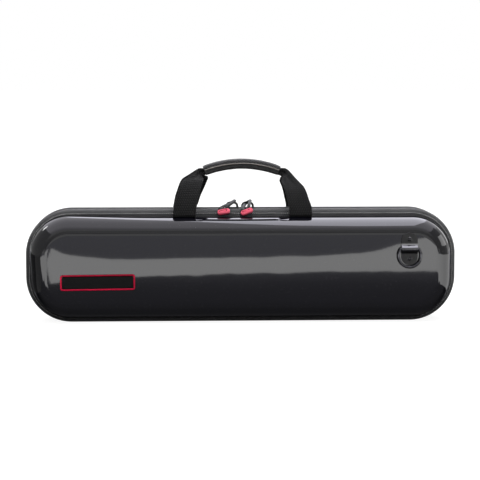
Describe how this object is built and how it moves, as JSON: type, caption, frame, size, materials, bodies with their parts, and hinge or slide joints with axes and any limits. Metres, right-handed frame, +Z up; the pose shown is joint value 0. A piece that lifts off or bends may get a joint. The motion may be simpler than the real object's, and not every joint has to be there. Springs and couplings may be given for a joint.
{
  "type": "flute case",
  "caption": "Hard zipped flute case with glossy dark shells, a padded fabric band, a webbing handle, two zip pulls with pink sleeves and a strap ring.",
  "frame": {"origin": "on the floor below the middle of the case", "axes": "+X along the case's length, +Y towards its rear half, +Z up; the badge faces -Y"},
  "size_m": [0.4424, 0.0914, 0.1669],
  "materials": {
    "shell_gloss": "polished",
    "band_nylon": "woven",
    "zip_tape": "woven",
    "webbing": "woven",
    "grip_fabric": "woven",
    "hardware_black": "satin",
    "pull_rubber": "satin",
    "badge_red": "satin",
    "badge_black": "satin",
    "foam_plush": "matte"
  },
  "bodies": {
    "rear_case": {"rear_shell": "shell_gloss", "rear_band": "band_nylon", "rear_zip_tape": "zip_tape", "rear_handle_strap": "webbing", "rear_grip": "grip_fabric", "rear_ring_bracket": "hardware_black", "rear_ring_screw_upper": "hardware_black", "rear_ring_screw_lower": "hardware_black", "rear_ring_washer_upper": "hardware_black", "rear_ring_washer_lower": "hardware_black", "hinge_fabric": "band_nylon", "foam_bed": "foam_plush"},
    "front_case": {"front_shell": "shell_gloss", "front_band": "band_nylon", "front_zip_tape": "zip_tape", "front_handle_strap": "webbing", "front_grip": "grip_fabric", "front_ring_bracket": "hardware_black", "front_ring_screw_upper": "hardware_black", "front_ring_screw_lower": "hardware_black", "front_ring_washer_upper": "hardware_black", "front_ring_washer_lower": "hardware_black", "badge_frame": "badge_red", "badge_field": "badge_black", "lid_foam": "foam_plush", "lid_pad": "foam_plush"},
    "slider_left": {"zip_slider_left": "hardware_black"},
    "slider_right": {"zip_slider_right": "hardware_black"},
    "pull_left": {"pull_loop_left": "hardware_black", "pull_sleeve_left": "pull_rubber"},
    "pull_right": {"pull_loop_right": "hardware_black", "pull_sleeve_right": "pull_rubber"},
    "ring_front": {"front_strap_ring": "hardware_black"},
    "ring_rear": {"rear_strap_ring": "hardware_black"}
  },
  "joints": [
    {"name": "lid_hinge", "type": "hinge", "parent": "rear_case", "child": "front_case", "pos_m": [0, 0, 0], "axis": [1, 0, 0], "range_deg": [0, 175], "deforming": ["hinge_fabric"]},
    {"name": "slider_left_slide", "type": "slide", "parent": "front_case", "child": "slider_left", "axis": [-1, 0, 0], "range_m": [0, 0.15]},
    {"name": "slider_right_slide", "type": "slide", "parent": "front_case", "child": "slider_right", "axis": [1, 0, 0], "range_m": [0, 0.15]},
    {"name": "pull_left_swing", "type": "hinge", "parent": "slider_left", "child": "pull_left", "pos_m": [-0.0093, 0, 0.12165], "axis": [-1, 0, 0], "range_deg": [0, 105]},
    {"name": "pull_right_swing", "type": "hinge", "parent": "slider_right", "child": "pull_right", "pos_m": [0.0069, 0, 0.12165], "axis": [-1, 0, 0], "range_deg": [0, 105]},
    {"name": "ring_front_swing", "type": "hinge", "parent": "front_case", "child": "ring_front", "pos_m": [0.17045, -0.0432, 0.0766], "axis": [-1, 0, 0], "range_deg": [0, 170]},
    {"name": "ring_rear_swing", "type": "hinge", "parent": "rear_case", "child": "ring_rear", "pos_m": [-0.17045, 0.0432, 0.0766], "axis": [1, 0, 0], "range_deg": [0, 170]}
  ]
}
